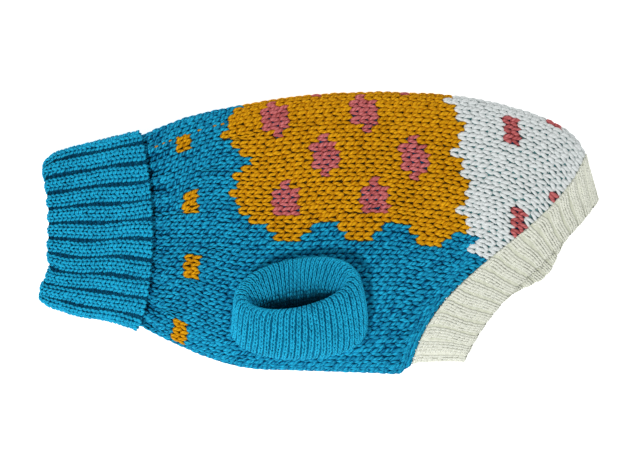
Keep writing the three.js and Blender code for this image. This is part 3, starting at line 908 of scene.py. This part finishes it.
def carried_wales(face, rng):
    """A narrow wale between two others, where short lengths of the carried yarn come up."""
    beside = next(wale for wale in body_wales(face, True) if wale["number"] == CARRIED_WALE)
    half = (beside["right"] - beside["left"]) * CARRIED_SHARE / 2
    course = np.arange(len(beside["starts"]) - 1)
    shown = (course >= CARRIED_START) & (course < CARRIED_END)
    shown &= rng.random(len(course)) < CARRIED_SHOWING
    return [{
        **beside, "left": beside["left"] - half, "right": beside["left"] + half,
        "keep": shown, "sinks": (CARRIED_SINK, CARRIED_SINK),
    }]


def offsets(wale, course, motif):
    """How far each stitch is from its motif's middle. Every other row is moved half a period."""
    wale_period, course_period, wale_shift, course_shift = motif
    course = course + course_shift
    row = np.floor(course / course_period)
    wale = wale + wale_shift + (row % 2) * (wale_period // 2)
    return wale % wale_period - wale_period // 2, course % course_period - course_period // 2


def lozenge(wale, course, motif):
    """Lozenges five wales wide and three courses long."""
    across, along = offsets(wale, course, motif)
    return (np.abs(across) + np.abs(along) <= 2) & (np.abs(along) <= 1)


def block(wale, course, motif):
    """Blocks three wales wide and two courses long."""
    across, along = offsets(wale, course, motif)
    return (np.abs(across) <= 1) & ((along == 0) | (along == 1))


def zigzag(value, steps):
    """A stepped border: 0 to its height and back over each period."""
    period, height, shift = steps
    phase = (value + shift) % period
    return np.round(height * (1 - np.abs(phase / (period / 2) - 1)))


def chart(wale, course):
    """The yarn of each stitch."""
    colour = np.full(wale.shape, BLUE)
    front = SADDLE_START - zigzag(wale, FRONT_STEPS)
    lower = SADDLE_DEPTH + zigzag(course, LOWER_STEPS)
    saddle = (course >= front) & (course < SADDLE_END) & (wale < lower)
    colour[saddle] = OCHRE
    inner = (course > SADDLE_START) & (course < SADDLE_END - BARE_COURSES) & (wale < SADDLE_DEPTH - 1)
    colour[saddle & inner & lozenge(wale, course, LOZENGES)] = PINK
    rump = (course >= SADDLE_END - zigzag(wale, RUMP_STEPS)) & (wale < RUMP_DEPTH)
    colour[rump] = WHITE
    colour[rump & (course >= FIRST_DOT) & block(wale, course, DOTS)] = PINK
    flecks = (course >= FIRST_FLECK) & (course <= LAST_FLECK) & block(wale, course, FLECKS)
    colour[flecks & (colour == BLUE)] = OCHRE
    return colour


def shell(name, outer, inner, keep, zones):
    """A thin closed sheet between two grids, with walls wherever a kept cell has no neighbour."""
    row_count, column_count = outer.shape[:2]
    index = np.arange(row_count * column_count).reshape(row_count, column_count)
    after = np.roll(index, -1, axis=1)
    a, b, c, d = index[:-1], after[:-1], after[1:], index[1:]
    under = row_count * column_count
    faces = [
        np.stack([a, b, c, d], -1)[keep],
        np.stack([d, c, b, a], -1)[keep] + under,
    ]
    empty_row = np.zeros((1, column_count), bool)
    sides = [
        (b, a, np.concatenate([empty_row, keep[:-1]])),
        (d, c, np.concatenate([keep[1:], empty_row])),
        (c, b, np.roll(keep, -1, axis=1)),
        (a, d, np.roll(keep, 1, axis=1)),
    ]
    for start, end, neighbour in sides:
        open_side = keep & ~neighbour
        s, e = start[open_side], end[open_side]
        faces.append(np.stack([s, e, e + under, s + under], -1))
    points = np.concatenate([outer.reshape(-1, 3), inner.reshape(-1, 3)])
    used, faces = np.unique(np.concatenate(faces), return_inverse=True)
    mesh = mesh_of(name, points[used], faces.reshape(-1, 4).tolist())
    inside = np.repeat([0.0, 1.0], row_count * column_count)
    write_attribute(mesh, "inside", inside[used])
    zones = np.tile(zones, 2)[used]
    values = (zones == WHITE) * WHITE_ZONE + (zones == OCHRE) * OCHRE_ZONE
    write_attribute(mesh, "zone", values)
    return placed(name, mesh)


def backing(name, face, depths, cell, keep, zone_of):
    """A shell under the yarn, between two depths below a face."""
    top, bottom = depths
    row_step, column_step = cell
    row_count, column_count = face.points.shape[:2]
    rows = np.linspace(0, row_count - END_MARGIN, row_count // row_step)
    turns = np.arange(column_count // column_step) * column_step / column_count
    grid_rows, grid_turns = np.meshgrid(rows, turns, indexing="ij")
    points, normals = face.sample(grid_rows, grid_turns)
    after = np.roll(points, -1, axis=1)
    kept = keep((points[:-1] + points[1:] + after[:-1] + after[1:]) / 4)
    return shell(name, points - normals * top, points - normals * bottom, kept, zone_of(points))


def zones_from(stitches):
    """A function that gives the yarn of the nearest stitch for each point of a grid."""
    middles = np.concatenate([legs["centres"].mean(axis=1) for legs, _ in stitches])
    colours = np.concatenate([colours for _, colours in stitches])
    tree = KDTree(len(middles))
    for number, middle in enumerate(middles):
        tree.insert(middle, number)
    tree.balance()

    def zone_of(points):
        nearest = [tree.find(point)[1] for point in points.reshape(-1, 3)]
        return colours[nearest]

    return zone_of


def new_material(name, surface):
    """A material, its node tree and its shader, which holds the numbers of a surface."""
    material = bpy.data.materials.new(name)
    material.use_nodes = True
    shader = material.node_tree.nodes["Principled BSDF"]
    for socket, value in surface.items():
        shader.inputs[socket].default_value = value
    return material, material.node_tree, shader


def new_node(tree, kind, inputs, **settings):
    """A new node with its settings. Each of its inputs is linked or holds a value."""
    node = tree.nodes.new("ShaderNode" + kind)
    for name, value in settings.items():
        setattr(node, name, value)
    for name, value in inputs.items():
        if isinstance(value, bpy.types.NodeSocket):
            tree.links.new(value, node.inputs[name])
        else:
            node.inputs[name].default_value = value
    return node


def math_node(tree, operation, *values):
    return new_node(tree, "Math", dict(enumerate(values)), operation=operation).outputs[0]


def mix_colour(tree, factor, dark, light):
    """A mix of two colours, each a tuple or the output of a node."""
    dark, light = ((*value, 1) if isinstance(value, tuple) else value for value in (dark, light))
    return new_node(tree, "Mix", {"Factor": factor, 6: dark, 7: light}, data_type="RGBA").outputs[2]


def object_place(tree):
    return new_node(tree, "TexCoord", {}).outputs["Object"]


def noise(tree, look, place):
    scale, detail = look
    inputs = {"Scale": scale, "Detail": detail, "Vector": place}
    return new_node(tree, "TexNoise", inputs).outputs["Fac"]


def attribute(tree, name):
    return new_node(tree, "Attribute", {}, attribute_name=name).outputs["Fac"]


def bump(tree, shader, height, distance):
    inputs = {"Distance": distance, "Strength": BUMP_STRENGTH, "Height": height}
    tree.links.new(new_node(tree, "Bump", inputs).outputs["Normal"], shader.inputs["Normal"])


def yarn_material(name):
    """Soft two-ply yarn: streaks of fibre along it, partly painted highlights, a slanting groove between
    its plies, painted darker as shade, a tone of its own for each leg, and a painted shade that deepens
    between the stitches and on the sides of each strand."""
    light, dark = YARNS[name]
    surface = {**YARN_SURFACE, "Sheen Tint": (*light, 1)}
    material, tree, shader = new_material("yarn_" + name, surface)
    uv = new_node(tree, "UVMap", {}, uv_map="yarn")
    split = new_node(tree, "SeparateXYZ", {"Vector": uv.outputs["UV"]})
    along, around = split.outputs["X"], split.outputs["Y"]
    tone = attribute(tree, "tone")
    lift = attribute(tree, "lift")
    turn = math_node(tree, "MULTIPLY_ADD", along, PLY_TURNS, around)
    wave = math_node(tree, "SINE", math_node(tree, "MULTIPLY", turn, 2 * math.pi))
    groove = math_node(tree, "ABSOLUTE", wave)
    own_place = math_node(tree, "MULTIPLY", tone, STREAK_STEP)
    streak_place = new_node(tree, "CombineXYZ", {
        "X": math_node(tree, "MULTIPLY_ADD", turn, STREAKS_AROUND, own_place),
        "Y": math_node(tree, "MULTIPLY", along, STREAKS_ALONG),
        "Z": math_node(tree, "MULTIPLY", tone, STREAK_STEP_UP),
    })
    streak = noise(tree, STREAK_NOISE, streak_place.outputs["Vector"])
    fibre = noise(tree, FIBRE_NOISE, object_place(tree))
    patch = noise(tree, PATCH_NOISE, object_place(tree))
    factor = DARKEST
    for part, share in zip((lift, tone, patch, fibre, groove, streak), YARN_SHARES):
        factor = math_node(tree, "MULTIPLY_ADD", part, share, factor)
    shade = new_node(tree, "MapRange", {
        "From Min": HOLE_LIFT, "From Max": LIT_LIFT, "To Min": HOLE_SHADE, "Value": lift,
    }, interpolation_type="SMOOTHSTEP")
    shaded = new_node(tree, "VectorMath", {
        "Vector": mix_colour(tree, factor, dark, light), "Scale": shade.outputs["Result"],
    }, operation="SCALE")
    tree.links.new(shaded.outputs["Vector"], shader.inputs["Base Color"])
    height = math_node(tree, "MULTIPLY_ADD", fibre, FIBRE_RELIEF, math_node(tree, "ADD", groove, streak))
    bump(tree, shader, height, YARN_BUMP)
    return material


def zoned(tree, zone, factor, colours):
    """The colour of each zone, mixed from its light and its dark tone."""
    blue, warm, pale = (mix_colour(tree, factor, dark, light) for light, dark in colours)
    is_warm = math_node(tree, "GREATER_THAN", zone, OCHRE_ZONE / 2)
    is_pale = math_node(tree, "GREATER_THAN", zone, (OCHRE_ZONE + WHITE_ZONE) / 2)
    return mix_colour(tree, is_pale, mix_colour(tree, is_warm, blue, warm), pale)


def backing_material(name, hollows, purl_yarns):
    """The deep hollows behind the stitches on one side, darkened as painted shade, and the purl side
    with its carried yarn on the other. Each has a light and a dark tone for the blue, the ochre and the
    white zone."""
    surface = {**YARN_SURFACE, "Sheen Tint": (*hollows[0][0], 1)}
    material, tree, shader = new_material(name, surface)
    inputs = {**PURL_WAVES, "Vector": object_place(tree)}
    wave = new_node(tree, "TexWave", inputs, bands_direction="X")
    fibre = noise(tree, BACKING_NOISE, object_place(tree))
    half_wave = math_node(tree, "MULTIPLY", wave.outputs["Fac"], 0.5)
    factor = math_node(tree, "MULTIPLY_ADD", fibre, 0.5, half_wave)
    zone = attribute(tree, "zone")
    purl_side = [YARNS[yarn_name] for yarn_name in purl_yarns]
    colour = mix_colour(
        tree, attribute(tree, "inside"),
        zoned(tree, zone, factor, hollows), zoned(tree, zone, factor, purl_side),
    )
    tree.links.new(colour, shader.inputs["Base Color"])
    bump(tree, shader, factor, BACKING_BUMP)
    return material


def stitch_piece(name, legs, colour_name, node, brightness=0.0):
    """A mesh of stitches that stands for a node."""
    piece = tube_mesh(name, legs, brightness, rng)
    piece.data.materials.append(yarn[colour_name])
    return declared(piece, node)


def declared(piece, node):
    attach(piece, "root")
    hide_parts(node)
    return piece


def everywhere(points):
    return np.ones(points.shape[:2], bool)


def all_blue(points):
    return np.full(points.shape[0] * points.shape[1], BLUE)


def backing_piece(
    name, face, depths, cell, behind_name, node, keep=everywhere, zone_of=all_blue,
):
    """A sheet of backing that stands for a node."""
    piece = backing(name, face, depths, cell, keep, zone_of)
    piece.data.materials.append(behind[behind_name])
    return declared(piece, node)


def rib_wales(face, ribs, knit, groove_share, pitch, sunk, first=0.0, knitted=1.0):
    """The wales of ribs. Each rib has some knit wales and then a groove. Sunk is how deep a leg
    lies at the edge of its rib and inside it, and knitted is the share of the rows with stitches."""
    rows = np.arange(len(face.points))
    last_row = min(int(len(rows) * knitted), rows[-1])
    span = np.minimum(rows, last_row)
    share = rows / len(rows)
    width = (1 - groove_share) / knit
    inner = rows <= last_row
    wales = []
    for rib in range(ribs):
        sway = RIB_SWAY * waves(RIB_WAVES, share, rib)
        for k in range(knit):
            left = (rib + first + k * width + sway) / ribs
            right = (rib + first + (k + 1) * width + sway) / ribs
            middle, _ = face.sample(span.astype(float), (left + right) / 2)
            run = run_along(middle)
            count = max(int(round(run[-1] / pitch)), 1)
            starts = np.interp(np.linspace(0, run[-1], count + 1), run[inner], rows[inner])
            sinks = (sunk[0 if k == 0 else 1], sunk[0 if k == knit - 1 else 1])
            wales.append({
                "number": rib * knit + k, "left": left, "right": right, "starts": starts,
                "sinks": sinks,
            })
    return wales


def add_camera():
    data = bpy.data.cameras.new("camera")
    data.sensor_width = SENSOR
    data.lens = SENSOR * (CAMERA_HEIGHT - LEVEL_IN_FOCUS) / (PICTURE_WIDTH * MM_PER_PIXEL)
    camera = placed("camera", data)
    camera.location = (
        (PICTURE_MIDDLE[0] + SHIFT[0]) * MM, (PICTURE_MIDDLE[1] + SHIFT[1]) * MM, CAMERA_HEIGHT * MM,
    )
    data.clip_end = FARTHEST
    bpy.context.scene.camera = camera


def add_light(name, place, size, power):
    """A square light that faces the middle of the frame."""
    data = bpy.data.lights.new(name, "AREA")
    data.shape = "SQUARE"
    data.size = size
    data.energy = power
    lamp = placed(name, data)
    lamp.location = place
    x, y, z = place
    lamp.rotation_euler = (math.atan2(math.hypot(x, y), z), 0, math.atan2(-x, y))


def add_floor():
    corners = [(x * FLOOR_HALF, y * FLOOR_HALF, 0) for x, y in ((-1, -1), (1, -1), (1, 1), (-1, 1))]
    mesh = bpy.data.meshes.new("floor")
    mesh.from_pydata(corners, [], [(0, 1, 2, 3)])
    floor = placed("floor", mesh)
    floor.location.z = -FLOOR_GAP
    material, _, _ = new_material("floor", FLOOR_SURFACE)
    mesh.materials.append(material)


def add_studio():
    world = bpy.data.worlds.new("studio")
    world.use_nodes = True
    background = world.node_tree.nodes["Background"]
    background.inputs["Color"].default_value = (1, 1, 1, 1)
    background.inputs["Strength"].default_value = SKY
    scene = bpy.context.scene
    scene.world = world
    scene.view_settings.view_transform = "Standard"
    for light in LIGHTS:
        add_light(*light)


rng = np.random.default_rng(SEED)
bodies = body_face()

# The cloth is moved to the box of the body's solid: its middle across, and its tail along
cad_low, cad_high = (np.array(corner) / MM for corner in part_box("body_panel"))
own = bodies.points.reshape(-1, 3)
SHIFT = ((cad_low + cad_high) - (own.min(axis=0) + own.max(axis=0))) / 2 * np.array([0, 1, 0])
SHIFT[0] = cad_high[0] - own[:, 0].max()

yarn = {name: yarn_material(name) for name in YARNS}
behind = {name: backing_material("behind_" + name, *look) for name, look in BEHIND.items()}

# The body panel
coloured_stitches = []
for side_name, near in (("near", True), ("far", False)):
    leg_shape = BULKY_LEG if near else SMALL_LEG
    legs = legs_of(bodies, body_wales(bodies, near), leg_shape, BODY_YARN, BODY_FLAT, rng)
    colours = chart(legs["tags"][:, 0], legs["tags"][:, 1])
    coloured_stitches.append((legs, colours))
    for number, colour_name in enumerate(YARN_NAMES):
        chosen = picked(legs, colours == number)
        stitch_piece(
            "body_" + colour_name + "_" + side_name, chosen, colour_name, "body_panel",
        )
carried = carried_wales(bodies, rng)
carried_legs = legs_of(bodies, carried, CARRIED_LEG, CARRIED_YARN, CARRIED_FLAT, rng)
stitch_piece("carried_yarn", carried_legs, "ochre", "body_panel")
body_backing = backing_piece(
    "body_backing", bodies, BODY_BACKING, BODY_CELL, "body", "body_panel",
    lambda middle: ~inside_armhole(middle, 0.0), zones_from(coloured_stitches),
)

# The collar
collars = collar_face()
collar_backing = backing_piece(
    "collar_backing", collars, COLLAR_BACKING, COLLAR_CELL, "rib", "neck_collar",
)
collar_wales = rib_wales(
    collars, COLLAR_RIBS, 2, COLLAR_GROOVE, COLLAR_STITCH, COLLAR_SINKS, RIB_START, COLLAR_KNITTED,
)
purl_wales = rib_wales(
    collars, COLLAR_RIBS, 1, 1 - COLLAR_GROOVE * PURL_WIDTH, COLLAR_STITCH, PURL_SINKS,
    RIB_START + 1 - COLLAR_GROOVE * PURL_LAP, COLLAR_KNITTED,
)
collar_legs = legs_of(collars, collar_wales, SMALL_LEG, COLLAR_YARN, COLLAR_FLAT, rng)
collar_stitches = stitch_piece("collar_rib", collar_legs, "blue", "neck_collar", COLLAR_BRIGHTNESS)
purl_legs = legs_of(collars, purl_wales, PURL_LEG, PURL_YARN, PURL_FLAT, rng)
collar_purls = stitch_piece("collar_purl", purl_legs, "blue", "neck_collar")

# The hem
hems = hem_face()
hem_backing = backing_piece(
    "hem_backing", hems, HEM_BACKING, HEM_CELL, "hem", "hem_rib",
)
hem_wales = rib_wales(hems, HEM_RIBS, 2, HEM_GROOVE, HEM_STITCH, HEM_SINKS)
hem_legs = legs_of(hems, hem_wales, SMOOTH_LEG, HEM_YARN, HEM_FLAT, rng)
hem_stitches = stitch_piece("hem_ribs", hem_legs, "cream", "hem_rib", HEM_BRIGHTNESS)

# The cuffs
for cuff_name, rows_of_cuff, from_above in (
    ("leg_cuff_upper", UPPER_CUFF, True), ("leg_cuff_lower", LOWER_CUFF, False),
):
    cuffs = cuff_face(rows_of_cuff, CUFF_ROUNDNESS[cuff_name], lying_heights(bodies, from_above))
    depths = [CUFF_WALLS[cuff_name] * share for share in CUFF_BACKING_SHARES]
    cuff_backing = backing_piece(
        cuff_name + "_backing", cuffs, depths, CUFF_CELL, "cuff", cuff_name,
    )
    wales = rib_wales(cuffs, CUFF_RIBS, 1, CUFF_GROOVE, CUFF_STITCH, CUFF_SINKS)
    legs = legs_of(cuffs, wales, RIB_LEG, CUFF_YARN, CUFF_FLAT, rng)
    cuff_stitches = stitch_piece(cuff_name + "_ribs", legs, "blue", cuff_name, CUFF_BRIGHTNESS)

add_camera()
add_floor()
add_studio()
